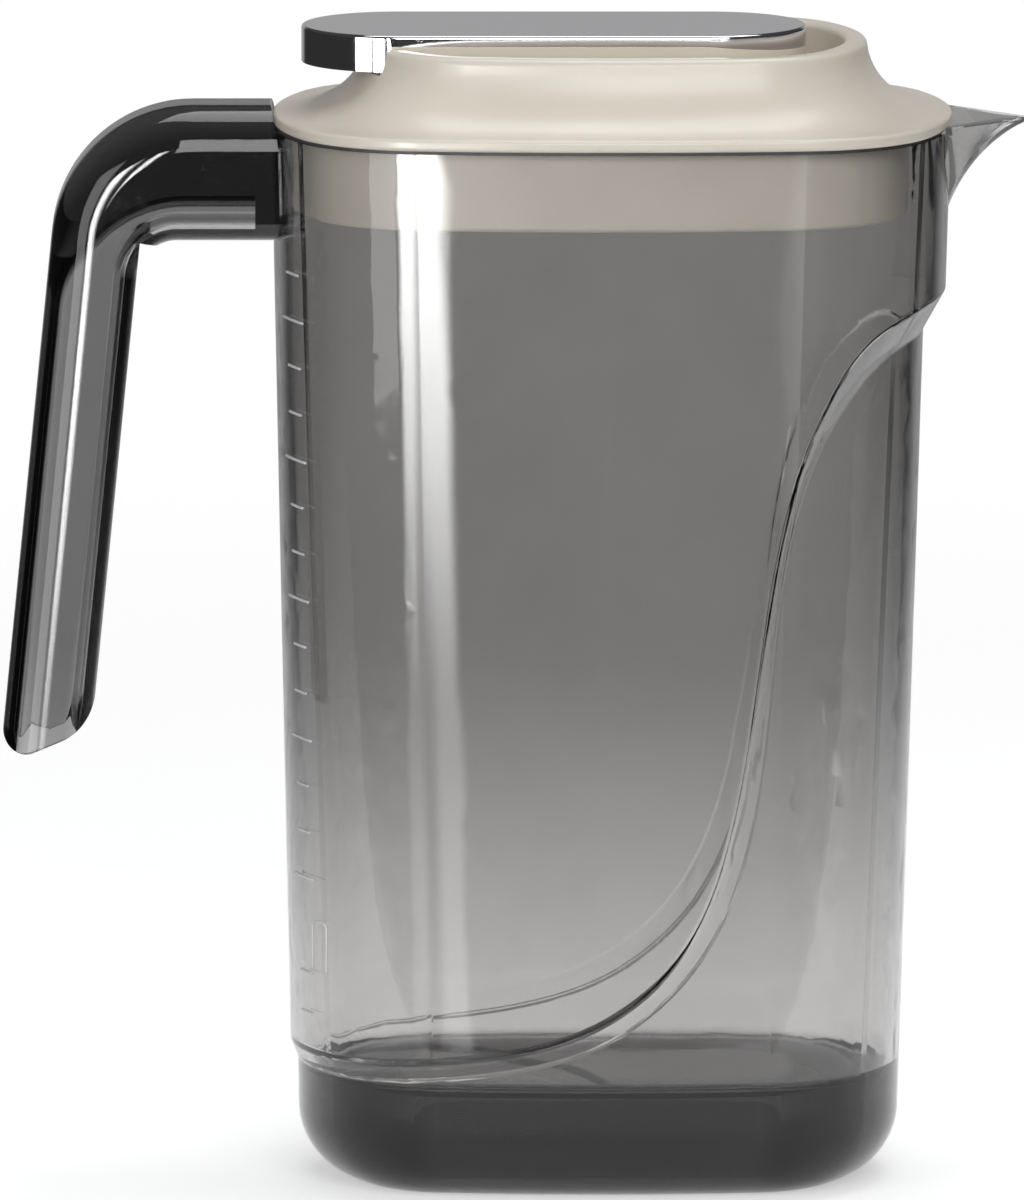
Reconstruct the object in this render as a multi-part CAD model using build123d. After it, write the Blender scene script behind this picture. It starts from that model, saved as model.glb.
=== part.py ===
"""Fridge drink dispenser: a smoky clear jug with a lift-off lid, a chromed thumb lever and a pour gate.

Millimetres. The origin is on the plane the foot stands on, under the middle of the lid.
+X points to the pouring beak, -X to the handle, +Z up. The far and near sides mirror each other.
"""
from build123d import *
from math import atan, atan2, cos, hypot, radians, sin, sqrt, tan
import os

# Jug shell
RIM_Z = 232.2
WALL = 3.0
REAR_AT_RIM = 74.5
FRONT_AT_RIM = 74.0
HALF_DEPTH_AT_RIM = 51.5
CORNER = 32.0
SIDE_BULGE = 2.2
END_BULGE = 3.5
REAR_DRAFT = 0.0195
FRONT_DRAFT = 0.0305
SIDE_DRAFT = 0.0225

# The lower part of the shell steps in below a line that sweeps from the rear foot up to the front
REAR_STEP = 1.5
FRONT_STEP = 4.6
SIDE_STEP = 2.8
SWEEP_REAR_Z = 30.3
SWEEP_FRONT_Z = 198.0
LOW_BEND_X = -30.5
LOW_BEND_Z = 89.4
LOW_BEND_RADIUS = 57.0
HIGH_BEND_X = 74.6
HIGH_BEND_Z = 168.0
HIGH_BEND_RADIUS = 28.5
LOW_BEND_START = -88.0
LOW_BEND_END = -9.5
HIGH_BEND_START = 155.0
HIGH_BEND_MIDDLE = 125.0
HIGH_BEND_END = 96.0
SWEEP_REAR_SLOPE = 0.03
SWEEP_FRONT_SLOPE = 0.02
STEP_BAND = 4.0
STEP_BAND_FRONT = 10.4
STEP_ROUND = 1.1
STEEPEST_STEP = 0.995

# Floor and foot
FLOOR_TOP = 24.5
FLOOR_THICKNESS = 3.0
FLOOR_CORNER = 2.2
FOOT_ROUND = 16.0
FOOT_RING = 5.3
RECESS_DRAFT = 0.02

# Pouring beak
BEAK_REACH = 16.0
BEAK_RISE = 1.8
BEAK_HALF_WIDTH = 18.5
BEAK_DEPTH = 18.9
BEAK_KEEL_RADIUS = 31.6
BEAK_WALL = 2.4
BEAK_FLOOR = 2.9
BEAK_NOSE = 1.2
BEAK_EDGE = 1.1
KEEL_WIDTH_SHARE = 0.3
KEEL_RISE_SHARE = 0.16
BEAK_STATIONS = (0, 0.3, 0.6, 0.85, 1)

# Handle, a separate moulding: solid along its top, cored out through the bar's lower part and the grip
HANDLE_WIDTH = 30.0
HANDLE_ROOT_LENGTH = 16.0
HANDLE_WALL = 3.4
HANDLE_SOLID_TOP = 19.3
HANDLE_RISE = 5.0
HANDLE_BAR = 29.3
HANDLE_TIP_X = -134.1
HANDLE_TIP_Z = 92.2
HANDLE_LEAN = 5.7
GRIP_THICKNESS = 19.4
HANDLE_OUTER_BEND = 31.0
HANDLE_INNER_BEND = 9.0
HANDLE_END_SLANT = 23.2
HANDLE_TIP_ROUND = 4.8
HANDLE_HEEL_ROUND = 12.0
HANDLE_FRONT_EDGE = 6.5
HANDLE_BACK_EDGE = 10.0
HOLLOW_EDGE = 3.0

# Lid
GASKET_THICKNESS = 0.7
GASKET_INSET = 0.9
FLANGE_SIDE_LAP = 1.0
FLANGE_THICKNESS = 2.7
FLANGE_EDGE = 0.9
LID_CLEARANCE = 0.5
DOME_RISE = 15.9
DOME_STATIONS = (12, 32, 51, 70, 90)
COLLAR_REAR = 54.0
COLLAR_FRONT = 55.6
COLLAR_HALF_DEPTH = 39.5
COLLAR_CORNER = 24.0
COLLAR_WALL = 5.0
COLLAR_ROUND = 1.6
NOTCH_LENGTH = 11.0
DISH_DEPTH = 8.0
DISH_FLOOR = 2.0
LID_SHELL = 2.4

# Plug under the lid
PLUG_DEPTH = 17.9
PLUG_WALL = 2.5
PLUG_SIDE_GAP = 0.7
PLUG_REAR_GAP = 1.6
PLUG_FRONT_GAP = 4.5
PLUG_DECK = 2.0
PLUG_LIP = 2.6
FIT = 0.1

# Lever
LEVER_REAR = 67.9
LEVER_FRONT = 42.3
LEVER_HALF_WIDTH = 21.0
LEVER_PROUD = 2.9
CAP_THICKNESS = 2.4
CAP_SKIRT = 1.6
CAP_FRONT_DEPTH = 4.4
TAB_DEPTH = 8.0
TAB_LENGTH = 19.6
CAP_EDGE = 0.7
LEVER_CLEARANCE = 0.7
LEVER_WALL = 2.2
LEVER_REST_GAP = 0.7
LEVER_NOSE_LENGTH = 5.8
LEVER_NOSE_RISE = 3.2

# Hinge of the lever
PIVOT_X = 35.5
PIVOT_RISE = 3.5
PIN_RADIUS = 1.3
PIN_CLEARANCE = 0.03
PIN_HALF_LENGTH = 15.0
LUG_RADIUS = 2.3
LUG_INNER_Y = 5.5
LUG_THICKNESS = 2.5
LUG_CLEARANCE = 0.35
OPEN_ANGLE = 25.0

# Pour gate on the lever's arm, and the strainer that it closes
STRAINER_HALF_WIDTH = 14.0
STRAINER_DEPTH = 3.0
STRAINER_SET_BACK = 0.8
STRAINER_SILL = 1.6
STRAINER_LAP = 1.6
SLOT_COUNT = 5
SLOT_WIDTH = 3.2
SLOT_PITCH = 4.8
SLOT_HEIGHT = 11.0
SLOT_DROP = 3.7
GATE_THICKNESS = 2.0
GATE_MARGIN = 1.0
SEAL_THICKNESS = 1.5
SEAL_GAP = 0.2
ARM_WIDTH = 9.0
ARM_THICKNESS = 3.5
ARM_HEAD_LENGTH = 8.5
ARM_HEAD_FRONT = 2.5
ARM_SET_BACK = 1.0
ARM_SLOT_REAR = 3.7
ARM_SLOT_FRONT = 8.0

# Screws that hold the chromed cap
SCREW_X = (-34.0, -8.0, 18.0)
SCREW_RADIUS = 1.1
SCREW_HEAD_RADIUS = 2.6
SCREW_HEAD_HEIGHT = 1.5
SCREW_BOSS_RADIUS = 2.2
SCREW_CLEARANCE = 0.04

# How far a cutting block runs past the faces that it cuts
OVERRUN = 1.0

# Worked out from the values above
BEAK_TOP = RIM_Z + BEAK_RISE
HANDLE_TOP = RIM_Z + HANDLE_RISE
SLOT_TOP_Z = RIM_Z - SLOT_DROP
FLANGE_HALF_LENGTH = (REAR_AT_RIM + FRONT_AT_RIM) / 2
FLANGE_HALF_DEPTH = HALF_DEPTH_AT_RIM + FLANGE_SIDE_LAP
FLANGE_Z = RIM_Z + GASKET_THICKNESS
FLANGE_TOP = FLANGE_Z + FLANGE_THICKNESS
COLLAR_TOP = FLANGE_TOP + DOME_RISE
DISH_Z = COLLAR_TOP - DISH_DEPTH
PLUG_REAR = REAR_AT_RIM - WALL - PLUG_REAR_GAP
PLUG_FRONT = FRONT_AT_RIM - WALL - PLUG_FRONT_GAP
PLUG_HALF_DEPTH = HALF_DEPTH_AT_RIM - WALL - PLUG_SIDE_GAP
PLUG_CORNER = CORNER - WALL - PLUG_SIDE_GAP
PLUG_BOTTOM = FLANGE_Z - PLUG_DEPTH
SEAT_X = PLUG_FRONT - STRAINER_DEPTH - STRAINER_SET_BACK
LEVER_TOP = COLLAR_TOP + LEVER_PROUD
PIVOT_Z = DISH_Z + PIVOT_RISE
CAP_BOTTOM = LEVER_TOP - CAP_THICKNESS
LEVER_BOTTOM = DISH_Z + LEVER_REST_GAP
LEVER_REAR_CENTRE = LEVER_HALF_WIDTH - LEVER_REAR
LEVER_FRONT_CENTRE = LEVER_FRONT - LEVER_HALF_WIDTH
TAB_BOTTOM = LEVER_TOP - TAB_DEPTH
TAB_FRONT = TAB_LENGTH - LEVER_REAR
NOTCH_FRONT = NOTCH_LENGTH - COLLAR_REAR


def soft_rectangle(rear, front, half_width, corner, z):
    """Outline of eight tangent arcs: four corners, two bulged ends and two bulged sides."""
    centre = (rear + front) / 2
    half_length = (front - rear) / 2
    corner_x = half_length - corner - END_BULGE
    corner_y = half_width - corner - SIDE_BULGE
    side_radius = (corner_x**2 + (half_width - corner_y) ** 2 - corner**2) / (2 * SIDE_BULGE)
    end_radius = (corner_y**2 + (half_length - corner_x) ** 2 - corner**2) / (2 * END_BULGE)
    to_side = atan2(corner_y - half_width + side_radius, corner_x)
    to_end = atan2(corner_y, corner_x - half_length + end_radius)

    def on_corner(angle, sign_x, sign_y):
        x = corner_x + corner * cos(angle)
        y = corner_y + corner * sin(angle)
        return (centre + sign_x * x, sign_y * y, z)

    edges = []
    for sign_x, sign_y in ((1, 1), (-1, 1), (-1, -1), (1, -1)):
        angles = [to_end, (to_end + to_side) / 2, to_side]
        if sign_x != sign_y:
            angles.reverse()
        points = [on_corner(angle, sign_x, sign_y) for angle in angles]
        edges.append(Edge.make_three_point_arc(*points))
        if sign_x == sign_y:
            middle = (centre, sign_y * half_width, z)
            end = on_corner(to_side, -sign_x, sign_y)
        else:
            middle = (centre + sign_x * half_length, 0, z)
            end = on_corner(to_end, sign_x, -sign_y)
        edges.append(Edge.make_three_point_arc(points[-1], middle, end))
    return Wire(edges)


def drafted(outline_at, low, high):
    """Solid between the outlines at two heights."""
    return Solid.make_loft([outline_at(low), outline_at(high)], ruled=True)


def box_between(x_range, y_range, z_range):
    size = [high - low for low, high in (x_range, y_range, z_range)]
    corner = [low for low, high in (x_range, y_range, z_range)]
    return Pos(*corner) * Solid.make_box(*size)


def cylinder_between(radius, x, y, low, high):
    return Pos(x, y, low) * Solid.make_cylinder(radius, high - low)


def cross_cylinder(radius, x, z, half_length):
    """Cylinder along Y, centred on the plane of symmetry."""
    plane = Plane((x, -half_length, z), z_dir=(0, 1, 0))
    return Solid.make_cylinder(radius, 2 * half_length, plane)


def side_prism(points, half_width):
    """Prism along Y of a polygon given by its X and Z."""
    wire = Polyline([(x, -half_width, z) for x, z in points], close=True)
    return extrude(make_face(wire), 2 * half_width, dir=(0, 1, 0))


def wall_outline(z, inset, rear_step=0.0, front_step=0.0, side_step=0.0):
    """The jug's plan at a height, drawn in from the outer skin by a wall and by the steps."""
    drop = RIM_Z - z
    return soft_rectangle(
        -REAR_AT_RIM + REAR_DRAFT * drop + rear_step + inset,
        FRONT_AT_RIM - FRONT_DRAFT * drop - front_step - inset,
        HALF_DEPTH_AT_RIM - SIDE_DRAFT * drop - side_step - inset,
        CORNER - side_step - inset,
        z,
    )


def stepped_outline(z, inset):
    return wall_outline(z, inset, REAR_STEP, FRONT_STEP, SIDE_STEP)


def on_bend(centre_x, centre_z, radius, degrees):
    return (centre_x + radius * cos(radians(degrees)), centre_z + radius * sin(radians(degrees)))


def sweep_line(shift, front_shift):
    """The line where the shell steps in, moved down and forward by a shift that grows to the front."""
    reach = REAR_AT_RIM + CORNER
    points = [(-reach, SWEEP_REAR_Z - shift)]
    for share in (0, 1 / 3, 2 / 3, 1):
        angle = LOW_BEND_START + share * (LOW_BEND_END - LOW_BEND_START)
        points.append(on_bend(LOW_BEND_X, LOW_BEND_Z, LOW_BEND_RADIUS + shift, angle))
    for angle in (HIGH_BEND_START, HIGH_BEND_MIDDLE, HIGH_BEND_END):
        share = (HIGH_BEND_START - angle) / 90
        radius = HIGH_BEND_RADIUS - shift - (front_shift - shift) * share
        points.append(on_bend(HIGH_BEND_X, HIGH_BEND_Z, radius, angle))
    points.append((reach, SWEEP_FRONT_Z - front_shift))
    ends = [(1, 0, SWEEP_REAR_SLOPE), (1, 0, SWEEP_FRONT_SLOPE)]
    return Spline([(x, -reach, z) for x, z in points], tangents=ends)


def beyond_line(line, edge_z):
    """Everything between the sweep line and a level, far wider than the jug."""
    start, end = line @ 0, line @ 1
    y = start.Y
    rest = Polyline((end.X, y, end.Z), (end.X, y, edge_z), (start.X, y, edge_z), (start.X, y, start.Z))
    return extrude(make_face(Wire([line.edge(), *rest.edges()])), -2 * y, dir=(0, 1, 0))


def cut_apart(solid):
    """The face that the sweep line cut, and the others."""
    is_cut = [face.geom_type == GeomType.EXTRUSION for face in solid.faces()]
    cut = [face for face, made in zip(solid.faces(), is_cut) if made]
    rest = [face for face, made in zip(solid.faces(), is_cut) if not made]
    return cut[0], rest


def slope_between(upper, lower):
    """Ruled strips from each edge of the upper outline to its nearest edge of the lower one."""
    strips = []
    for edge in upper.outer_wire().edges():
        partner = min(lower.outer_wire().edges(), key=lambda other: (other @ 0.5 - edge @ 0.5).length)
        straight = (partner @ 0 - edge @ 0).length + (partner @ 1 - edge @ 1).length
        crossed = (partner @ 1 - edge @ 0).length + (partner @ 0 - edge @ 1).length
        if straight > crossed:
            partner = partner.reversed()
        strips.append(Face.make_surface_from_curves(edge, partner))
    return strips


def rounded_step(form, low, high):
    """Rounds the step's edges, which run across the wall, and leaves the upright joins of its faces."""
    edges = []
    for edge in form.edges():
        between_ends = low + OVERRUN < (edge @ 0.5).Z < high - OVERRUN
        if between_ends and abs((edge % 0.5).Z) < STEEPEST_STEP:
            edges.append(edge)
    return fillet(edges, STEP_ROUND)


def jug_form(inset, low, high):
    """The stepped form of the jug, drawn in by a wall: full width above the sweep line, less below."""
    lean = atan(SIDE_STEP / STEP_BAND)
    shift = -inset * tan(lean / 2)
    upper_line = sweep_line(shift, shift)
    lower_line = sweep_line(shift + STEP_BAND, shift + STEP_BAND_FRONT)
    full = drafted(lambda z: wall_outline(z, inset), low, high)
    narrow = drafted(lambda z: stepped_outline(z, inset), low, high)
    upper_cut, upper_faces = cut_apart(full & beyond_line(upper_line, high + WALL))
    lower_cut, lower_faces = cut_apart(narrow & beyond_line(lower_line, low - WALL))
    sharp = Solid(Shell(upper_faces + lower_faces + slope_between(upper_cut, lower_cut)))
    return rounded_step(sharp, low, high)


def rounded_bottom(form, radius):
    bottom = form.faces().sort_by(Axis.Z)[0]
    return fillet(bottom.edges(), radius)


def beak_section(x, side, floor, top):
    """V with a rounded keel across the beak at one X, drawn in by its side and floor thickness."""
    tip_x = FRONT_AT_RIM + BEAK_REACH
    half = BEAK_HALF_WIDTH * (tip_x + BEAK_NOSE - x) / (BEAK_REACH + BEAK_NOSE) - side
    half = max(half, BEAK_NOSE / 4)
    keel_z = min(keel_height(x) + floor, BEAK_TOP - BEAK_EDGE)
    keel_half = KEEL_WIDTH_SHARE * half
    side_z = keel_z + KEEL_RISE_SHARE * (top - keel_z)
    left, right = (x, -half, top), (x, half, top)
    low_left, low_right = (x, -keel_half, side_z), (x, keel_half, side_z)
    keel = Edge.make_three_point_arc(low_left, (x, 0, keel_z), low_right)
    return Wire([
        Edge.make_line(right, left),
        Edge.make_line(left, low_left),
        keel,
        Edge.make_line(low_right, right),
    ])


def keel_height(x):
    """Height of the beak's keel: an arc that is hollow towards the front, from the wall to the tip."""
    chord_x, chord_z = BEAK_REACH, BEAK_DEPTH - BEAK_NOSE
    chord = hypot(chord_x, chord_z)
    rise = sqrt(BEAK_KEEL_RADIUS**2 - (chord / 2) ** 2)
    centre_x = FRONT_AT_RIM + chord_x / 2 + rise * chord_z / chord
    centre_z = BEAK_TOP - BEAK_DEPTH + chord_z / 2 - rise * chord_x / chord
    reach = max(x, FRONT_AT_RIM - OVERRUN) - centre_x
    return centre_z + sqrt(BEAK_KEEL_RADIUS**2 - reach**2)


def beak(start_x, end_x, side, floor, top):
    stations = [start_x + (end_x - start_x) * share for share in BEAK_STATIONS]
    return Solid.make_loft([beak_section(x, side, floor, top) for x in stations])


def foot_recess():
    """Shallow hollow under the floor that leaves a broad foot ring standing."""
    def outline(z):
        inset = FOOT_ROUND + FOOT_RING + RECESS_DRAFT * z
        return stepped_outline(0, inset).moved(Pos(0, 0, z))

    return drafted(outline, 0, FLOOR_TOP - FLOOR_THICKNESS)


def jug_body():
    outer = rounded_bottom(jug_form(0, 0, RIM_Z), FOOT_ROUND)
    bore = rounded_bottom(jug_form(WALL, FLOOR_TOP, BEAK_TOP + WALL), FLOOR_CORNER)
    tip_x = FRONT_AT_RIM + BEAK_REACH
    spout = beak(FRONT_AT_RIM - WALL / 2, tip_x, 0, 0, BEAK_TOP) - lid_room()
    trough = beak(FRONT_AT_RIM - 3 * WALL, tip_x - BEAK_EDGE, BEAK_WALL, BEAK_FLOOR, BEAK_TOP + OVERRUN)
    return outer + spout - bore - trough - foot_recess()


def grip_line(z, depth):
    """X of the leaning grip at a height, measured in from its outer face."""
    lean = radians(HANDLE_LEAN)
    return HANDLE_TIP_X + (z - HANDLE_TIP_Z) * tan(lean) + depth / cos(lean)


def handle_bar(inset, top, root_x, low_z, front_edge, back_edge):
    """Bar and grip as one bent bar, drawn in by a wall and running on below the grip's end."""
    half_width = HANDLE_WIDTH / 2 - inset
    bottom = HANDLE_TOP - HANDLE_BAR + inset
    front = GRIP_THICKNESS - inset
    outer_corner = (grip_line(top, inset), top)
    inner_corner = (grip_line(bottom, front), bottom)
    bar = side_prism([
        (root_x, top), outer_corner, (grip_line(low_z, inset), low_z),
        (grip_line(low_z, front), low_z), inner_corner, (root_x, bottom),
    ], half_width)
    bar = fillet(cross_edge(bar, *outer_corner), HANDLE_OUTER_BEND - inset)
    bar = fillet(cross_edge(bar, *inner_corner), HANDLE_INNER_BEND + inset)
    level = (top + bottom) / 2
    back, front = long_edges(bar, half_width, low_z, root_x, level)
    bar = fillet(back, back_edge)
    back, front = long_edges(bar, half_width, low_z, root_x, level)
    return fillet(front, front_edge)


def long_edges(bar, half_width, low_z, root_x, level):
    """The edges that run along the bar and grip on both flanks: those behind, and those in front."""
    back, front = [], []
    for edge in bar.edges():
        centre = edge.center()
        on_flank = abs(abs(centre.Y) - half_width) < FIT
        if on_flank and centre.Z > low_z + OVERRUN and centre.X < root_x - OVERRUN:
            is_back = centre.Z > level or centre.X < grip_line(centre.Z, GRIP_THICKNESS / 2)
            (back if is_back else front).append(edge)
    return back, front


def cross_edge(prism, x, z):
    """The edge along Y nearest to a point of the side view."""
    across = prism.edges().filter_by(Axis.Y)
    return min(across, key=lambda edge: hypot(edge.center().X - x, edge.center().Z - z))


def grip_end():
    """Wide block that the grip's slanted lower end is cut from, with its heel and tip rounded."""
    lean = radians(HANDLE_LEAN)
    slant = radians(HANDLE_END_SLANT)
    heel_rise = GRIP_THICKNESS / cos(lean) * tan(slant) / (1 - tan(lean) * tan(slant))
    tip = (grip_line(HANDLE_TIP_Z, 0), HANDLE_TIP_Z)
    heel_z = HANDLE_TIP_Z + heel_rise
    heel = (grip_line(heel_z, GRIP_THICKNESS), heel_z)
    inner = (grip_line(HANDLE_TOP - HANDLE_BAR, GRIP_THICKNESS), HANDLE_TOP - HANDLE_BAR)
    block = side_prism([
        (grip_line(HANDLE_TOP, 0), HANDLE_TOP), tip, heel, inner,
        (0, HANDLE_TOP - 2 * HANDLE_BAR), (0, HANDLE_TOP),
    ], HANDLE_WIDTH)
    block = fillet(cross_edge(block, *tip), HANDLE_TIP_ROUND)
    return fillet(cross_edge(block, *heel), HANDLE_HEEL_ROUND)


def handle():
    root_x = HANDLE_ROOT_LENGTH - REAR_AT_RIM
    below = HANDLE_TIP_Z - GRIP_THICKNESS
    blank = handle_bar(0, HANDLE_TOP, root_x, below, HANDLE_FRONT_EDGE, HANDLE_BACK_EDGE) & grip_end()
    hollow = handle_bar(HANDLE_WALL, HANDLE_TOP - HANDLE_SOLID_TOP, -REAR_AT_RIM - HANDLE_WALL, below,
                        HOLLOW_EDGE, HOLLOW_EDGE)
    skin = drafted(lambda z: wall_outline(z, 0), 0, RIM_Z)
    return blank - hollow - skin - lid_room()


def lid_room():
    """The space over the rim that the lid's flange drops into."""
    outline = soft_rectangle(-FLANGE_HALF_LENGTH - LID_CLEARANCE, FLANGE_HALF_LENGTH + LID_CLEARANCE,
                             FLANGE_HALF_DEPTH + LID_CLEARANCE, CORNER + LID_CLEARANCE, RIM_Z)
    return extrude(make_face(outline), HANDLE_BAR)


def dome_outline(share, z, inset=0.0):
    """Plan of the lid between its collar, share 0, and its flange, share 1."""
    def between(collar, flange):
        return collar + (flange - FLANGE_EDGE - collar) * share - inset

    return soft_rectangle(
        -between(COLLAR_REAR, FLANGE_HALF_LENGTH),
        between(COLLAR_FRONT, FLANGE_HALF_LENGTH),
        between(COLLAR_HALF_DEPTH, FLANGE_HALF_DEPTH),
        between(COLLAR_CORNER, CORNER),
        z,
    )


def dome_share(z):
    """The dome is hollow in profile: a quarter ellipse from the flat flange to the upright collar."""
    height = (z - FLANGE_TOP) / DOME_RISE
    return 1 - sqrt(1 - (1 - height) ** 2)


def dome():
    angles = [radians(degrees) for degrees in DOME_STATIONS]
    stations = [(1 - sin(angle), FLANGE_TOP + DOME_RISE * (1 - cos(angle))) for angle in angles]
    first_share, first_z = stations[0]
    apron = Solid.make_loft([dome_outline(1, FLANGE_TOP), dome_outline(first_share, first_z)], ruled=True)
    bell = Solid.make_loft([dome_outline(share, z) for share, z in stations])
    return bell + apron


def plug_outline(z, inset):
    drop = FLANGE_Z - z
    return soft_rectangle(-PLUG_REAR + REAR_DRAFT * drop + inset, PLUG_FRONT - REAR_DRAFT * drop - inset,
                          PLUG_HALF_DEPTH - SIDE_DRAFT * drop - inset, PLUG_CORNER - inset, z)


def lid_hollow(inset, high):
    """The space under the dome, from the flange's underside up, tapering as the dome does."""
    roof = DISH_Z - DISH_FLOOR
    share = (high - FLANGE_Z) / (roof - FLANGE_Z)
    roof_share = dome_share(roof)

    def between(base, collar, flange):
        top = collar + (flange - FLANGE_EDGE - collar) * roof_share - LID_SHELL
        return base - PLUG_WALL - FIT + (top - base + PLUG_WALL + FIT) * share - inset

    base = plug_outline(FLANGE_Z, PLUG_WALL + FIT + inset)
    top = soft_rectangle(
        -between(PLUG_REAR, COLLAR_REAR, FLANGE_HALF_LENGTH),
        between(PLUG_FRONT, COLLAR_FRONT, FLANGE_HALF_LENGTH),
        between(PLUG_HALF_DEPTH, COLLAR_HALF_DEPTH, FLANGE_HALF_DEPTH),
        between(PLUG_CORNER, COLLAR_CORNER, CORNER),
        high,
    )
    return Solid.make_loft([base, top], ruled=True)


def lid_top():
    outline = soft_rectangle(-FLANGE_HALF_LENGTH, FLANGE_HALF_LENGTH, FLANGE_HALF_DEPTH, CORNER, FLANGE_Z)
    flange = extrude(make_face(outline), FLANGE_THICKNESS)
    rims = [edge for edge in flange.edges() if edge.bounding_box().size.Z < FLANGE_EDGE]
    lid = fillet(rims, FLANGE_EDGE) + dome()
    dish = drafted(lambda z: dome_outline(0, z, COLLAR_WALL), DISH_Z, COLLAR_TOP + COLLAR_ROUND)
    lid = lid - rounded_bottom(dish, COLLAR_ROUND) - lid_hollow(0, DISH_Z - DISH_FLOOR)
    rim_face = lid.faces().sort_by(Axis.Z)[-1]
    lid = fillet(rim_face.edges(), COLLAR_ROUND)
    flank = LEVER_HALF_WIDTH + LEVER_CLEARANCE
    notch = box_between((-FLANGE_HALF_LENGTH, NOTCH_FRONT), (-flank, flank),
                        (TAB_BOTTOM - LEVER_CLEARANCE, LEVER_TOP))
    arm_half = ARM_WIDTH / 2 + LEVER_CLEARANCE
    arm_slot = box_between((PIVOT_X - ARM_SLOT_REAR, PIVOT_X + ARM_SLOT_FRONT), (-arm_half, arm_half),
                           (FLANGE_Z, DISH_Z + COLLAR_ROUND))
    lid = lid - notch - arm_slot
    for side in (-1, 1):
        lid = lid + hinge_lug(side)
    return lid - cross_cylinder(PIN_RADIUS + PIN_CLEARANCE, PIVOT_X, PIVOT_Z, PIN_HALF_LENGTH)


def hinge_lug(side):
    """Upright ear on the dish floor that carries one end of the pin."""
    y_range = sorted((side * LUG_INNER_Y, side * (LUG_INNER_Y + LUG_THICKNESS)))
    x_range = (PIVOT_X - LUG_RADIUS, PIVOT_X + LUG_RADIUS)
    leg = box_between(x_range, y_range, (DISH_Z - DISH_FLOOR / 2, PIVOT_Z))
    slab = box_between(x_range, y_range, (PIVOT_Z - LUG_RADIUS, LEVER_TOP))
    return leg + (cross_cylinder(LUG_RADIUS, PIVOT_X, PIVOT_Z, PIN_HALF_LENGTH) & slab)


def strainer_window(half_width, margin):
    """Block that fills the window in the plug's front wall."""
    top = FLANGE_Z - PLUG_DECK
    return box_between((SEAT_X, FRONT_AT_RIM), (-half_width, half_width),
                       (PLUG_BOTTOM + STRAINER_SILL + margin, top - margin))


def lid_plug():
    skirt = drafted(lambda z: plug_outline(z, 0), PLUG_BOTTOM, FLANGE_Z)
    skirt = rounded_bottom(skirt, PLUG_WALL / 3)
    inside = drafted(lambda z: plug_outline(z, PLUG_WALL), PLUG_BOTTOM - PLUG_WALL, FLANGE_Z - PLUG_DECK)
    lip_top = FLANGE_Z + PLUG_LIP
    lip = lid_hollow(FIT, lip_top) - lid_hollow(FIT + PLUG_WALL, lip_top)
    gate_half = gate_half_width() + GATE_MARGIN
    opening = box_between((PIVOT_X - ARM_SLOT_REAR, SEAT_X - FIT), (-gate_half, gate_half),
                          (PLUG_BOTTOM, FLANGE_TOP))
    return skirt - inside + lip - opening - strainer_window(STRAINER_HALF_WIDTH + FIT, 0)


def gate_half_width():
    return (SLOT_COUNT - 1) * SLOT_PITCH / 2 + SLOT_WIDTH / 2 + GATE_MARGIN


def pour_strainer():
    """Slotted insert in the plug's window, flat at the back where the gate closes on it."""
    skin = drafted(lambda z: plug_outline(z, 0), PLUG_BOTTOM, FLANGE_Z)
    back = drafted(lambda z: plug_outline(z, PLUG_WALL + FIT), PLUG_BOTTOM, FLANGE_Z)
    plate = strainer_window(STRAINER_HALF_WIDTH, FIT) & skin
    edge = strainer_window(STRAINER_HALF_WIDTH + STRAINER_LAP, FIT) & back
    strainer = plate + edge
    for index in range(SLOT_COUNT):
        y = (index - (SLOT_COUNT - 1) / 2) * SLOT_PITCH
        slot_width = (y - SLOT_WIDTH / 2, y + SLOT_WIDTH / 2)
        strainer = strainer - box_between((SEAT_X - OVERRUN, FRONT_AT_RIM), slot_width,
                                          (SLOT_TOP_Z - SLOT_HEIGHT, SLOT_TOP_Z))
    return strainer


def lid_gasket():
    outer = extrude(make_face(wall_outline(RIM_Z, GASKET_INSET)), GASKET_THICKNESS)
    inner = extrude(make_face(plug_outline(RIM_Z, -2 * FIT)), GASKET_THICKNESS)
    return outer - inner


def stadium(inset, low, high):
    """Prism with the lever's plan: two half circles joined by straight flanks."""
    radius = LEVER_HALF_WIDTH - inset
    rear = cylinder_between(radius, LEVER_REAR_CENTRE, 0, low, high)
    front = cylinder_between(radius, LEVER_FRONT_CENTRE, 0, low, high)
    middle = box_between((LEVER_REAR_CENTRE, LEVER_FRONT_CENTRE), (-radius, radius), (low, high))
    return rear + middle + front


def cap_blank():
    """Outside of the chromed cap: a plate with a deep thumb tab behind and a deeper nose in front."""
    nose_bottom = LEVER_TOP - CAP_FRONT_DEPTH
    rear, front = -LEVER_REAR - OVERRUN, LEVER_FRONT + OVERRUN
    profile = side_prism([
        (rear, LEVER_TOP), (rear, TAB_BOTTOM), (TAB_FRONT, TAB_BOTTOM), (TAB_FRONT, CAP_BOTTOM),
        (LEVER_FRONT_CENTRE, CAP_BOTTOM), (LEVER_FRONT, nose_bottom),
        (front, nose_bottom), (front, LEVER_TOP),
    ], LEVER_HALF_WIDTH + OVERRUN)
    return stadium(0, TAB_BOTTOM, LEVER_TOP) & profile


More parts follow.
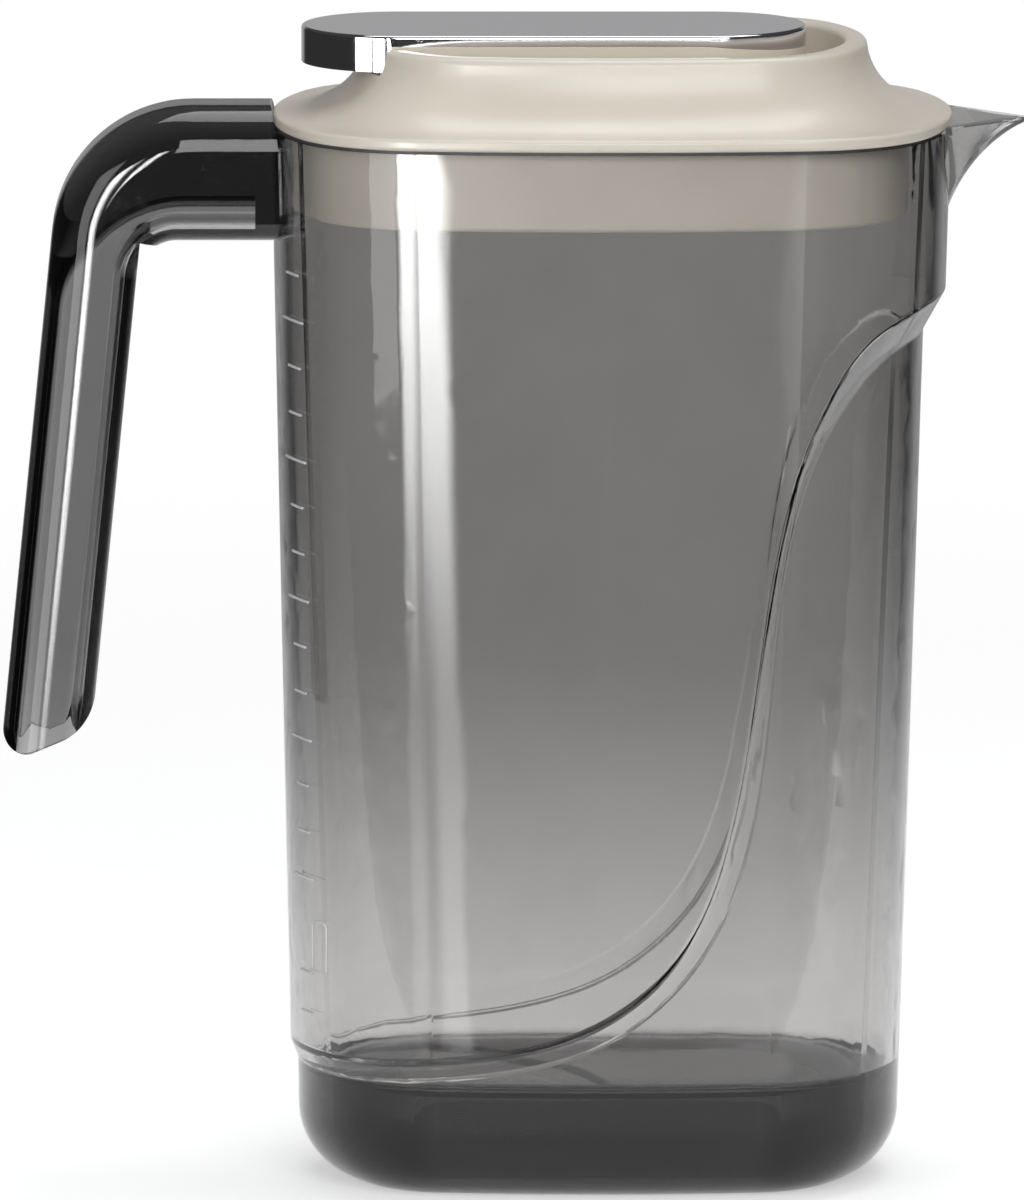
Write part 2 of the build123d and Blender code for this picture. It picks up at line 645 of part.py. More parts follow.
def lever_cap():
    blank = cap_blank()
    top_edges = blank.faces().sort_by(Axis.Z)[-1].edges()
    cap = fillet(top_edges, CAP_EDGE) - stadium(CAP_SKIRT, TAB_BOTTOM - OVERRUN, CAP_BOTTOM)
    boss_range = (CAP_BOTTOM - LEVER_WALL + FIT, CAP_BOTTOM + FIT)
    for x in SCREW_X:
        cap = cap + cylinder_between(SCREW_BOSS_RADIUS, x, 0, *boss_range)
        cap = cap - cylinder_between(SCREW_RADIUS + SCREW_CLEARANCE, x, 0, TAB_BOTTOM, LEVER_TOP - CAP_EDGE)
    return cap


def lever_body():
    """Cream block under the cap: hollow from below, solid round the hinge, with a tongue into the tab."""
    full_width = (-LEVER_HALF_WIDTH, LEVER_HALF_WIDTH)
    rear = NOTCH_FRONT + LEVER_CLEARANCE
    front = LEVER_FRONT + OVERRUN
    profile = side_prism([
        (rear, LEVER_BOTTOM), (LEVER_FRONT - LEVER_NOSE_LENGTH, LEVER_BOTTOM),
        (LEVER_FRONT, LEVER_BOTTOM + LEVER_NOSE_RISE), (front, LEVER_BOTTOM + LEVER_NOSE_RISE),
        (front, CAP_BOTTOM), (TAB_FRONT, CAP_BOTTOM), (TAB_FRONT, TAB_BOTTOM), (rear, TAB_BOTTOM),
    ], LEVER_HALF_WIDTH + OVERRUN)
    block = stadium(0, LEVER_BOTTOM, CAP_BOTTOM) & profile
    tongue_range = (TAB_BOTTOM + CAP_SKIRT, CAP_BOTTOM)
    tongue = stadium(CAP_SKIRT + FIT, *tongue_range)
    tongue = tongue & box_between((-LEVER_REAR, TAB_FRONT + LEVER_WALL), full_width, tongue_range)
    block = block - cap_blank() + tongue
    hollow_range = (LEVER_BOTTOM - OVERRUN, CAP_BOTTOM - LEVER_WALL)
    hollow = stadium(LEVER_WALL + CAP_SKIRT, *hollow_range)
    hollow = hollow & box_between((rear + LEVER_WALL, PIVOT_X - ARM_HEAD_LENGTH), full_width, hollow_range)
    block = block - hollow - arm_head(FIT / 2)
    for side in (-1, 1):
        block = block - lug_pocket(side)
    for x in SCREW_X:
        block = block - cylinder_between(SCREW_BOSS_RADIUS + FIT, x, 0, LEVER_BOTTOM, CAP_BOTTOM)
    return block - cross_cylinder(PIN_RADIUS + PIN_CLEARANCE, PIVOT_X, PIVOT_Z, LEVER_HALF_WIDTH)


def lug_pocket(side):
    """Room for a hinge lug inside the block over the whole swing."""
    swing = (PIVOT_Z - LEVER_BOTTOM) * tan(radians(OPEN_ANGLE)) + LUG_RADIUS / cos(radians(OPEN_ANGLE))
    y_inner = LUG_INNER_Y - LUG_CLEARANCE
    y_outer = LUG_INNER_Y + LUG_THICKNESS + LUG_CLEARANCE
    return box_between(
        (PIVOT_X - LUG_RADIUS - LUG_CLEARANCE, PIVOT_X + swing + LUG_CLEARANCE),
        sorted((side * y_inner, side * y_outer)),
        (LEVER_BOTTOM - OVERRUN, PIVOT_Z + LUG_RADIUS + LUG_CLEARANCE),
    )


def lever_pin():
    return cross_cylinder(PIN_RADIUS, PIVOT_X, PIVOT_Z, PIN_HALF_LENGTH)


def cap_screws():
    """Three self-tapping screws driven up through the block into the cap's bosses."""
    roof = CAP_BOTTOM - LEVER_WALL
    screws = []
    for x in SCREW_X:
        head = cylinder_between(SCREW_HEAD_RADIUS, x, 0, roof - SCREW_HEAD_HEIGHT, roof)
        shank = cylinder_between(SCREW_RADIUS, x, 0, roof, LEVER_TOP - CAP_EDGE - FIT)
        screws.append(head + shank)
    return Compound(screws)


def arm_head(grow):
    """Square head of the gate's arm, let into the block and held there by the pin."""
    half = ARM_WIDTH / 2 + grow
    front = PIVOT_X + ARM_HEAD_FRONT
    return box_between((front - ARM_HEAD_LENGTH - grow, front + grow), (-half, half),
                       (LEVER_BOTTOM, CAP_BOTTOM - LEVER_WALL + grow))


def gate_plate(front_x, thickness):
    half = gate_half_width()
    return box_between((front_x - thickness, front_x), (-half, half),
                       (SLOT_TOP_Z - SLOT_HEIGHT - GATE_MARGIN, SLOT_TOP_Z + GATE_MARGIN))


def gate_arm():
    """Arm that swings with the lever and carries the gate behind the strainer."""
    front_x = SEAT_X - SEAL_GAP - SEAL_THICKNESS
    start = Vector(PIVOT_X - ARM_SET_BACK, 0, LEVER_BOTTOM)
    end = Vector(front_x - GATE_THICKNESS / 2, 0, SLOT_TOP_Z - SLOT_HEIGHT / 2)
    along = (end - start).normalized()
    across = Vector(-along.Z, 0, along.X) * (ARM_THICKNESS / 2)
    corners = [start + across, end + across, end - across, start - across]
    bar = side_prism([(corner.X, corner.Z) for corner in corners], ARM_WIDTH / 2)
    below_block = box_between((0, front_x), (-ARM_WIDTH, ARM_WIDTH), (0, LEVER_BOTTOM))
    arm = arm_head(0) + (bar & below_block) + gate_plate(front_x, GATE_THICKNESS)
    return arm - cross_cylinder(PIN_RADIUS + PIN_CLEARANCE, PIVOT_X, PIVOT_Z, PIN_HALF_LENGTH)


def gate_seal():
    return gate_plate(SEAT_X - SEAL_GAP, SEAL_THICKNESS)


SUB_PARTS = (
    jug_body, handle,
    lid_top, lid_plug, pour_strainer, lid_gasket, lever_pin,
    lever_body, lever_cap, cap_screws, gate_arm, gate_seal,
)


def main():
    os.makedirs("parts", exist_ok=True)
    for make in SUB_PARTS:
        export_step(make(), f"parts/{make.__name__}.step")


main()
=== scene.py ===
# %% [markdown]
# # A fridge drink dispenser
# A smoky clear jug stands on a pale table, with a cream lid and a chromed lever on top. Its solids come from the
# CAD model as a fixed frame, in metres, with +X to the beak and +Z up. This notebook dresses them: it sets up the
# studio, mixes the plastics and metals, and adds the small moulded and machined details that a CAD solid lacks.

# %% Load the frame
import bpy, math
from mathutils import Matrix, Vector


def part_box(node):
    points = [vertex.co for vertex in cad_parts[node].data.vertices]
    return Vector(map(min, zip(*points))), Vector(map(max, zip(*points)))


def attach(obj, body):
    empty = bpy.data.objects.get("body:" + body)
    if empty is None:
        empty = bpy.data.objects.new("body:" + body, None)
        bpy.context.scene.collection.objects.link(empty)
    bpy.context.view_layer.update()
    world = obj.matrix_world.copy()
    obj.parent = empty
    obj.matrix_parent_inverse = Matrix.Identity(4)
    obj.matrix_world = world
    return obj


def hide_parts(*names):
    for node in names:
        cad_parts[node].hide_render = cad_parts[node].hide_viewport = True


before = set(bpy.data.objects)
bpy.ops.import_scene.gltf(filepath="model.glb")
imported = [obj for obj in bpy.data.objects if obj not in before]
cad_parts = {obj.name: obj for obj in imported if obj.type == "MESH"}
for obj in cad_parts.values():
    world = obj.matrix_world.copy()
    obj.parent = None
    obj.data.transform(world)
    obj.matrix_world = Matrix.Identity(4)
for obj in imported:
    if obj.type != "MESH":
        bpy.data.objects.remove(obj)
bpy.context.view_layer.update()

MM = 0.001

# %% [markdown]
# The photograph was taken from far off with a long lens, level with the middle of the near flank and looking
# down a little. A short lens close by would spread the lid's ends apart and curve nothing else the right way.
# A camera six metres off with a very narrow field gives the same almost parallel lines, so that is used.

# %% Camera
VIEW_DOWN = math.radians(8.7)
VIEW_DISTANCE = 6.0
VIEW_HEIGHT = 0.2628
LOOK_AT = Vector((-0.0219, 0, 0.1271))
SENSOR = 36.0

camera = bpy.data.objects.new("camera", bpy.data.cameras.new("camera"))
bpy.context.scene.collection.objects.link(camera)
backwards = Vector((0, -math.cos(VIEW_DOWN), math.sin(VIEW_DOWN)))
camera.location = LOOK_AT + backwards * VIEW_DISTANCE
camera.rotation_euler = (math.pi / 2 - VIEW_DOWN, 0, 0)
camera.data.sensor_width = SENSOR
camera.data.lens = SENSOR * VIEW_DISTANCE / VIEW_HEIGHT
camera.data.clip_end = 100
bpy.context.scene.camera = camera
bpy.context.scene.view_settings.view_transform = "Standard"
print("lens in mm:", round(camera.data.lens))

# %% [markdown]
# Glass and chrome show mostly what stands round them, so the table and the room are half of their look. Looked
# at directly both are white. Seen through the smoky walls or in the chrome, the table stays white near the jug
# and falls off to the grey of a studio, as a lit table top does in a large room. To the left and right the room
# is dark, which is how a photographer draws black lines down both sides of clear plastic. A painted gradient
# picture could do the same, but a few maths nodes on the ray's kind and direction need no picture.

# %% Helpers for nodes
def new_material(name):
    material = bpy.data.materials.new(name)
    material.use_nodes = True
    material.node_tree.nodes.clear()
    return material, material.node_tree.nodes, material.node_tree.links


def maths(nodes, links, operation, first, second=0.0, third=0.0):
    """One Math node: each input is a number or another node's output."""
    node = nodes.new("ShaderNodeMath")
    node.operation = operation
    for socket, value in zip(node.inputs, (first, second, third)):
        if isinstance(value, (int, float)):
            socket.default_value = value
        else:
            links.new(value, socket)
    return node.outputs[0]


def between(nodes, links, value, low, high, at_low=0.0, at_high=1.0):
    """Smooth change from at_low to at_high while a value goes from low to high."""
    node = nodes.new("ShaderNodeMapRange")
    node.interpolation_type = "SMOOTHSTEP"
    links.new(value, node.inputs["Value"])
    node.inputs["From Min"].default_value, node.inputs["From Max"].default_value = low, high
    node.inputs["To Min"].default_value, node.inputs["To Max"].default_value = at_low, at_high
    return node.outputs["Result"]


def seen_brightness(nodes, links, direct, through, mirrored, spread):
    """The brightness that each kind of ray finds: the camera's, one through glass, one off gloss, any other."""
    path = nodes.new("ShaderNodeLightPath")
    total = spread
    for name, value in (("Is Transmission Ray", through), ("Is Glossy Ray", mirrored),
                        ("Is Camera Ray", direct)):
        change = maths(nodes, links, "SUBTRACT", value, total)
        total = maths(nodes, links, "MULTIPLY_ADD", path.outputs[name], change, total)
    return total


def bright_field(nodes, links, axes, at_side, behind):
    """A value that holds behind the jug and changes to another one towards the left and right."""
    depth = maths(nodes, links, "MAXIMUM", axes.outputs["Y"], 0.001)
    slant = maths(nodes, links, "DIVIDE", maths(nodes, links, "ABSOLUTE", axes.outputs["X"]), depth)
    return between(nodes, links, slant, FIELD_INNER, FIELD_OUTER, behind, at_side)


FIELD_INNER, FIELD_OUTER, AT_SIDE = 0.35, 0.75, 0.10
print("node helpers ready")

# %% [markdown]
# The table top is a plain pale sheet. Its diffuse part takes the jug's soft shadow, and a little glow of its own
# lifts it to white without more light on the jug. Further out the sheet is only glow, so no edge of it shows.
# Rays that a gloss sends forward pass through the sheet in front of the jug, as if the table ended there, so
# that the near flank mirrors the dark room and the lamps' strips down to its foot.

# %% Table top
TABLE_HALF = 12.0
NEAR, FAR = 0.25, 1.1
NEAR_THROUGH, FAR_THROUGH = 0.12, 0.80
TABLE_WHITE = (0.8, 0.8, 0.8, 1)
TABLE_GLOW = 0.42
THROUGH_GLASS, MIRRORED_BEHIND, MIRRORED_IN_FRONT, SPREAD = 0.19, 0.40, 0.035, 0.5
OPEN_FRONT = -0.2

bpy.ops.object.select_all(action="DESELECT")
bpy.ops.mesh.primitive_plane_add(size=2 * TABLE_HALF, location=(0, 0, 0))
table = bpy.context.object
table.name = "table_top"
material, nodes, links = new_material("pale_table")
place = nodes.new("ShaderNodeTexCoord").outputs["Object"]
apart = nodes.new("ShaderNodeVectorMath")
apart.operation = "LENGTH"
links.new(place, apart.inputs[0])
far_for_eye = between(nodes, links, apart.outputs["Value"], NEAR, FAR)
far_for_glass = between(nodes, links, apart.outputs["Value"], NEAR_THROUGH, FAR_THROUGH)
through_ray = nodes.new("ShaderNodeLightPath").outputs["Is Transmission Ray"]
far_off = maths(nodes, links, "MULTIPLY_ADD", through_ray,
                maths(nodes, links, "SUBTRACT", far_for_glass, far_for_eye), far_for_eye)
axes = nodes.new("ShaderNodeSeparateXYZ")
links.new(place, axes.inputs[0])
glass_sees = bright_field(nodes, links, axes, AT_SIDE, THROUGH_GLASS)
gloss_sees = bright_field(nodes, links, axes, MIRRORED_IN_FRONT, MIRRORED_BEHIND)
sheet = nodes.new("ShaderNodeBsdfDiffuse")
sheet.inputs["Color"].default_value = TABLE_WHITE
near_glow = nodes.new("ShaderNodeEmission")
links.new(seen_brightness(nodes, links, TABLE_GLOW, TABLE_GLOW, TABLE_GLOW, 0.0), near_glow.inputs["Strength"])
near_top = nodes.new("ShaderNodeAddShader")
links.new(sheet.outputs[0], near_top.inputs[0])
links.new(near_glow.outputs[0], near_top.inputs[1])
far_glow = nodes.new("ShaderNodeEmission")
links.new(seen_brightness(nodes, links, 1.0, glass_sees, gloss_sees, SPREAD), far_glow.inputs["Strength"])
whole = nodes.new("ShaderNodeMixShader")
links.new(far_off, whole.inputs[0])
links.new(near_top.outputs[0], whole.inputs[1])
links.new(far_glow.outputs[0], whole.inputs[2])
is_gloss = nodes.new("ShaderNodeLightPath").outputs["Is Glossy Ray"]
in_front = maths(nodes, links, "LESS_THAN", axes.outputs["Y"], OPEN_FRONT)
opened = nodes.new("ShaderNodeMixShader")
links.new(maths(nodes, links, "MULTIPLY", is_gloss, in_front), opened.inputs[0])
links.new(whole.outputs[0], opened.inputs[1])
links.new(nodes.new("ShaderNodeBsdfTransparent").outputs[0], opened.inputs[2])
links.new(opened.outputs[0], nodes.new("ShaderNodeOutputMaterial").inputs["Surface"])
table.data.materials.append(material)
print("table top", table.dimensions.x, "m wide")

# %% [markdown]
# The room above the table is white to the camera and a soft even fill for the plastics. For glass and chrome it
# is grey behind the jug, and dark above and to the sides. The dark parts draw the lines along the edges of a
# clear jug.

# %% Room
ROOM_FILL = (0.62, 0.63, 0.65, 1)
HORIZON_TOP, CEILING_LOW = 0.16, 0.36
CLEAR_TOP, CLEAR_DARK = -0.02, 0.14
CEILING = 0.06

world = bpy.data.worlds.new("studio")
bpy.context.scene.world = world
world.use_nodes = True
nodes, links = world.node_tree.nodes, world.node_tree.links
nodes.clear()
axes = nodes.new("ShaderNodeSeparateXYZ")
links.new(nodes.new("ShaderNodeTexCoord").outputs["Generated"], axes.inputs[0])
behind = bright_field(nodes, links, axes, AT_SIDE, THROUGH_GLASS)
rise = between(nodes, links, axes.outputs["Z"], CLEAR_TOP, CLEAR_DARK)
through = maths(nodes, links, "MULTIPLY_ADD", rise, maths(nodes, links, "SUBTRACT", CEILING, behind), behind)
wall = bright_field(nodes, links, axes, MIRRORED_IN_FRONT, MIRRORED_BEHIND)
lower = between(nodes, links, axes.outputs["Z"], HORIZON_TOP, CEILING_LOW)
mirrored = maths(nodes, links, "MULTIPLY_ADD", lower, maths(nodes, links, "SUBTRACT", CEILING, wall), wall)
room = nodes.new("ShaderNodeBackground")
path = nodes.new("ShaderNodeLightPath")
links.new(seen_brightness(nodes, links, 1.0, through, mirrored, SPREAD), room.inputs["Strength"])
tint = nodes.new("ShaderNodeMix")
tint.data_type = "RGBA"
tint.inputs["A"].default_value = ROOM_FILL
tint.inputs["B"].default_value = (1, 1, 1, 1)
links.new(maths(nodes, links, "SUBTRACT", 1.0, path.outputs["Is Diffuse Ray"]), tint.inputs["Factor"])
links.new(tint.outputs["Result"], room.inputs["Color"])
links.new(room.outputs[0], nodes.new("ShaderNodeOutputWorld").inputs["Surface"])
print("room fill", ROOM_FILL[:3])

# %% [markdown]
# The lamps are soft boxes. The large key stands in front, so the lid's front slope is bright and its ends are
# duller. Two upright strips before the near flank light nothing: they
# only mirror in it, as the tall white streaks at its rear third, and one faint strip does so near the beak.

# %% Lamps
MIDDLE = (0, 0, 0.13)
STRIP_Y, STRIP_LOW, STRIP_HIGH = -0.65, -0.28, 0.36
STRIP_DIM, STRIP_FULL = -0.03, 0.12


def soft_box(name, at, aim, size, watts, gloss_only=False):
    lamp = bpy.data.objects.new(name, bpy.data.lights.new(name, "AREA"))
    bpy.context.scene.collection.objects.link(lamp)
    lamp.data.shape = "RECTANGLE"
    lamp.data.size, lamp.data.size_y = size
    lamp.data.energy = watts
    lamp.location = at
    lamp.rotation_euler = (Vector(aim) - Vector(at)).to_track_quat("-Z", "Y").to_euler()
    lamp.visible_camera = False
    lamp.visible_transmission = False
    if gloss_only:
        lamp.visible_diffuse = False
    return lamp


def mirrored_strip(name, from_x, to_x, brightness, fade_low, fade_high, soft_side):
    """Upright strip that only shows as a reflection, with soft sides and less light towards its foot."""
    width, height = to_x - from_x, STRIP_HIGH - STRIP_LOW
    watts = brightness * math.pi * width * height
    at = ((from_x + to_x) / 2, STRIP_Y, (STRIP_LOW + STRIP_HIGH) / 2)
    lamp = soft_box(name, at, (at[0], 0, at[2]), (width, height), watts, gloss_only=True)
    lamp.data.use_nodes = True
    nodes, links = lamp.data.node_tree.nodes, lamp.data.node_tree.links
    axes = nodes.new("ShaderNodeSeparateXYZ")
    links.new(nodes.new("ShaderNodeNewGeometry").outputs["Position"], axes.inputs[0])
    left = between(nodes, links, axes.outputs["X"], from_x, from_x + soft_side)
    right = between(nodes, links, axes.outputs["X"], to_x - soft_side, to_x, 1.0, 0.0)
    fade = between(nodes, links, axes.outputs["Z"], STRIP_DIM, STRIP_FULL, fade_low, fade_high)
    shape = maths(nodes, links, "MULTIPLY", maths(nodes, links, "MULTIPLY", left, right), fade)
    links.new(shape, nodes["Emission"].inputs["Strength"])
    return lamp


soft_box("key", (0.2, -1.4, 0.72), MIDDLE, (0.8, 0.8), 11)
soft_box("low_left", (-0.9, -1.0, 0.35), MIDDLE, (0.5, 0.9), 4)
soft_box("top", (0.1, 0.15, 1.3), MIDDLE, (0.9, 0.7), 7)
mirrored_strip("streak_wide", -0.405, -0.213, 26, 0.06, 1.0, 0.07)
mirrored_strip("streak_thin", -0.185, -0.150, 24, 0.12, 1.0, 0.012)
mirrored_strip("streak_beak", 0.160, 0.230, 4, 0.05, 1.0, 0.03)

# %% [markdown]
# Three effects come back in most materials, so each is a node group that is built once. The first is what the
# mould leaves: slow waves in the skin, a fine grain and a slight drift of the colour.

# %% Node group: moulded skin
def new_group(name, inputs, outputs):
    """Empty group with named number inputs, each with its usual value, and a Vector input for the place."""
    group = bpy.data.node_groups.new(name, "ShaderNodeTree")
    group.interface.new_socket("Place", in_out="INPUT", socket_type="NodeSocketVector")
    for socket, value in inputs.items():
        group.interface.new_socket(socket, in_out="INPUT", socket_type="NodeSocketFloat").default_value = value
    for socket in outputs:
        group.interface.new_socket(socket, in_out="OUTPUT", socket_type="NodeSocketFloat")
    start, end = group.nodes.new("NodeGroupInput"), group.nodes.new("NodeGroupOutput")
    return group, start.outputs, end.inputs


def noise(nodes, links, place, scale, detail=2.0, roughness=0.5, distortion=0.0):
    node = nodes.new("ShaderNodeTexNoise")
    links.new(place, node.inputs["Vector"])
    if isinstance(scale, (int, float)):
        node.inputs["Scale"].default_value = scale
    else:
        links.new(scale, node.inputs["Scale"])
    node.inputs["Detail"].default_value = detail
    node.inputs["Roughness"].default_value = roughness
    node.inputs["Distortion"].default_value = distortion
    return node.outputs["Fac"]


moulded, start, end = new_group("moulded_skin", {"Waves": 35.0, "Grain": 2500.0, "Grain share": 0.1},
                                ("Height", "Drift"))
nodes, links = moulded.nodes, moulded.links
waves = noise(nodes, links, start["Place"], start["Waves"], detail=1.0)
grain = noise(nodes, links, start["Place"], start["Grain"], detail=3.0)
links.new(maths(nodes, links, "MULTIPLY_ADD", grain, start["Grain share"], waves), end["Height"])
links.new(noise(nodes, links, start["Place"], 14.0, detail=4.0, roughness=0.6), end["Drift"])
print("group:", moulded.name)

# %% [markdown]
# The second is handling: hair scratches that run in all directions and soft smudges from fingers and washing.
# A scratch texture image would show its repeats, while a thin slice through a stretched noise never repeats.

# %% Node group: handling
handled, start, end = new_group("handling", {"Scratches": 260.0, "Smudges": 22.0}, ("Scratch", "Smudge"))
nodes, links = handled.nodes, handled.links
lines = []
for turn, squeeze in ((0.5, 0.12), (2.1, 0.09)):
    mapping = nodes.new("ShaderNodeMapping")
    mapping.inputs["Rotation"].default_value = (turn, 0.7 * turn, 1.3 * turn)
    mapping.inputs["Scale"].default_value = (1, squeeze, 1)
    links.new(start["Place"], mapping.inputs["Vector"])
    field = noise(nodes, links, mapping.outputs[0], start["Scratches"], detail=3.0, distortion=0.6)
    middle = maths(nodes, links, "ABSOLUTE", maths(nodes, links, "SUBTRACT", field, 0.5))
    lines.append(between(nodes, links, middle, 0.0, 0.004, 1.0, 0.0))
patches = between(nodes, links, noise(nodes, links, start["Place"], 30.0), 0.5, 0.62)
both = maths(nodes, links, "MAXIMUM", lines[0], lines[1])
links.new(maths(nodes, links, "MULTIPLY", both, patches), end["Scratch"])
smears = noise(nodes, links, start["Place"], start["Smudges"], detail=4.0, roughness=0.6, distortion=0.4)
links.new(between(nodes, links, smears, 0.25, 0.85), end["Smudge"])
print("group:", handled.name)

# %% [markdown]
# The third finds edges: a Bevel node bends the normal near a corner, and how far it bends is the mask. Pointiness
# would be cheaper, but it needs joined vertices, and the CAD meshes are loose triangles.

# %% Node group: edge wear
worn, start, end = new_group("edge_wear", {"Patchiness": 160.0}, ("Edge",))
nodes, links = worn.nodes, worn.links
rounded = nodes.new("ShaderNodeBevel")
rounded.samples = 4
rounded.inputs["Radius"].default_value = 0.5 * MM
facing = nodes.new("ShaderNodeVectorMath")
facing.operation = "DOT_PRODUCT"
links.new(rounded.outputs[0], facing.inputs[0])
links.new(nodes.new("ShaderNodeNewGeometry").outputs["Normal"], facing.inputs[1])
bent = between(nodes, links, maths(nodes, links, "SUBTRACT", 1.0, facing.outputs["Value"]), 0.02, 0.2)
rubbed = between(nodes, links, noise(nodes, links, start["Place"], start["Patchiness"]), 0.35, 0.65)
links.new(maths(nodes, links, "MULTIPLY", bent, rubbed), end["Edge"])
print("group:", worn.name)

# %% [markdown]
# One recipe serves every solid plastic and metal. The colour drifts between two tones and pales or dulls where
# edges are rubbed. Smudges and scratches raise the roughness. The bump carries the mould's waves and the
# scratches.

# %% Recipe for solid finishes
def place_group(nodes, links, group, place, values=None):
    node = nodes.new("ShaderNodeGroup")
    node.node_tree = group
    links.new(place, node.inputs["Place"])
    for name, value in (values or {}).items():
        node.inputs[name].default_value = value
    return node.outputs


def mixed(nodes, links, factor, first, second):
    node = nodes.new("ShaderNodeMix")
    node.data_type = "RGBA"
    links.new(factor, node.inputs["Factor"])
    for socket, value in ((node.inputs["A"], first), (node.inputs["B"], second)):
        if isinstance(value, tuple):
            socket.default_value = (*value, 1)
        else:
            links.new(value, socket)
    return node.outputs["Result"]


def bumped(nodes, links, height, distance):
    node = nodes.new("ShaderNodeBump")
    node.inputs["Distance"].default_value = distance
    links.new(height, node.inputs["Height"])
    return node.outputs["Normal"]


def solid_finish(name, light, dark, rubbed, roughness, smudge=0.06, scratch=0.25, bump=0.02 * MM,
                 skin=None, marks=None, metallic=0.0):
    """Opaque plastic or bare metal with drift, smudges, scratches, rubbed edges and a moulded skin."""
    material, nodes, links = new_material(name)
    place = nodes.new("ShaderNodeTexCoord").outputs["Object"]
    mould = place_group(nodes, links, moulded, place, skin)
    hands = place_group(nodes, links, handled, place, marks)
    edge = place_group(nodes, links, worn, place)["Edge"]
    shader = nodes.new("ShaderNodeBsdfPrincipled")
    shader.inputs["Metallic"].default_value = metallic
    shader.inputs["IOR"].default_value = 1.5
    drift = between(nodes, links, mould["Drift"], 0.3, 0.7)
    colour = mixed(nodes, links, edge, mixed(nodes, links, drift, light, dark), rubbed)
    links.new(colour, shader.inputs["Base Color"])
    rough = maths(nodes, links, "MULTIPLY_ADD", hands["Smudge"], smudge, roughness)
    rough = maths(nodes, links, "MULTIPLY_ADD", hands["Scratch"], scratch, rough)
    links.new(rough, shader.inputs["Roughness"])
    height = maths(nodes, links, "MULTIPLY_ADD", hands["Scratch"], -0.3, mould["Height"])
    links.new(bumped(nodes, links, height, bump), shader.inputs["Normal"])
    links.new(shader.outputs[0], nodes.new("ShaderNodeOutputMaterial").inputs["Surface"])
    return material


print("recipe for solid finishes ready")

# %% [markdown]
# The lid, its plug and the block under the lever are cream plastic with a satin skin. The block is a touch
# yellower. The plug's cream is painted much paler than the lid's: painted light that makes up for the shade of
# the smoky wall in front of it. The gate and strainer are the plain off-white of parts that are not seen, and the
# gasket and seal are soft grey silicone.

# %% Plastics and silicone
CREAM, CREAM_DARK, CREAM_RUBBED = (0.63, 0.575, 0.50), (0.59, 0.535, 0.46), (0.70, 0.655, 0.59)
cream_lid = solid_finish("cream_lid", CREAM, CREAM_DARK, CREAM_RUBBED, 0.27)
cream_lever = solid_finish("cream_lever", (0.64, 0.59, 0.50), (0.58, 0.53, 0.44), CREAM_RUBBED, 0.3)
# Painted light: the plug's colour is made paler than the lid's cream, to offset the shade of the smoky wall.
cream_plug = solid_finish("cream_plug", (0.93, 0.88, 0.78), (0.88, 0.83, 0.73), (0.93, 0.9, 0.84), 0.33,
                          scratch=0.1)
strainer_plastic = solid_finish("strainer_plastic", (0.72, 0.69, 0.63), (0.66, 0.63, 0.57), (0.8, 0.78, 0.73),
                                0.4)
gate_plastic = solid_finish("gate_plastic", (0.70, 0.67, 0.61), (0.63, 0.60, 0.54), (0.8, 0.78, 0.73), 0.42)
silicone = solid_finish("grey_silicone", (0.055, 0.052, 0.05), (0.04, 0.038, 0.036), (0.1, 0.1, 0.1), 0.55,
                        skin={"Waves": 220.0, "Grain": 6000.0, "Grain share": 0.4})
gate_rubber = solid_finish("gate_rubber", (0.42, 0.40, 0.38), (0.35, 0.33, 0.31), (0.5, 0.5, 0.48), 0.6,
                           skin={"Waves": 220.0, "Grain": 6000.0, "Grain share": 0.4})
print("plastics:", cream_lid.name, cream_lever.name, cream_plug.name)

# %% [markdown]
# The cap is plastic plated with bright chrome: nearly a mirror, with long slow waves from the plastic under it,
# a haze of finger grease and hair scratches. The pin is drawn stainless steel and the screws are plated steel.

# %% Metals
chrome = solid_finish("bright_chrome", (0.72, 0.71, 0.745), (0.69, 0.685, 0.72), (0.78, 0.78, 0.8), 0.035,
                      smudge=0.07, scratch=0.12, bump=0.012 * MM, metallic=1.0,
                      skin={"Waves": 28.0, "Grain": 900.0, "Grain share": 0.02})
pin_steel = solid_finish("pin_steel", (0.56, 0.56, 0.57), (0.48, 0.48, 0.49), (0.66, 0.66, 0.66), 0.28,
                         metallic=1.0, marks={"Scratches": 400.0, "Smudges": 90.0})
screw_steel = solid_finish("screw_steel", (0.50, 0.50, 0.49), (0.40, 0.40, 0.39), (0.62, 0.62, 0.6), 0.34,
                           metallic=1.0, marks={"Scratches": 400.0, "Smudges": 90.0})
print("metals:", chrome.name, pin_steel.name, screw_steel.name)

# %% [markdown]
# The jug is smoky clear plastic. Part of its tint is on the surface of the shader, and part is a volume that
# takes more light the further a ray runs in the plastic, so the thick foot and the edges turn nearly black
# while a single wall stays clear. For shadow rays the wall is plain transparent, or the lid's plug behind it
# would be in the dark, because a refracting shadow needs far more samples.

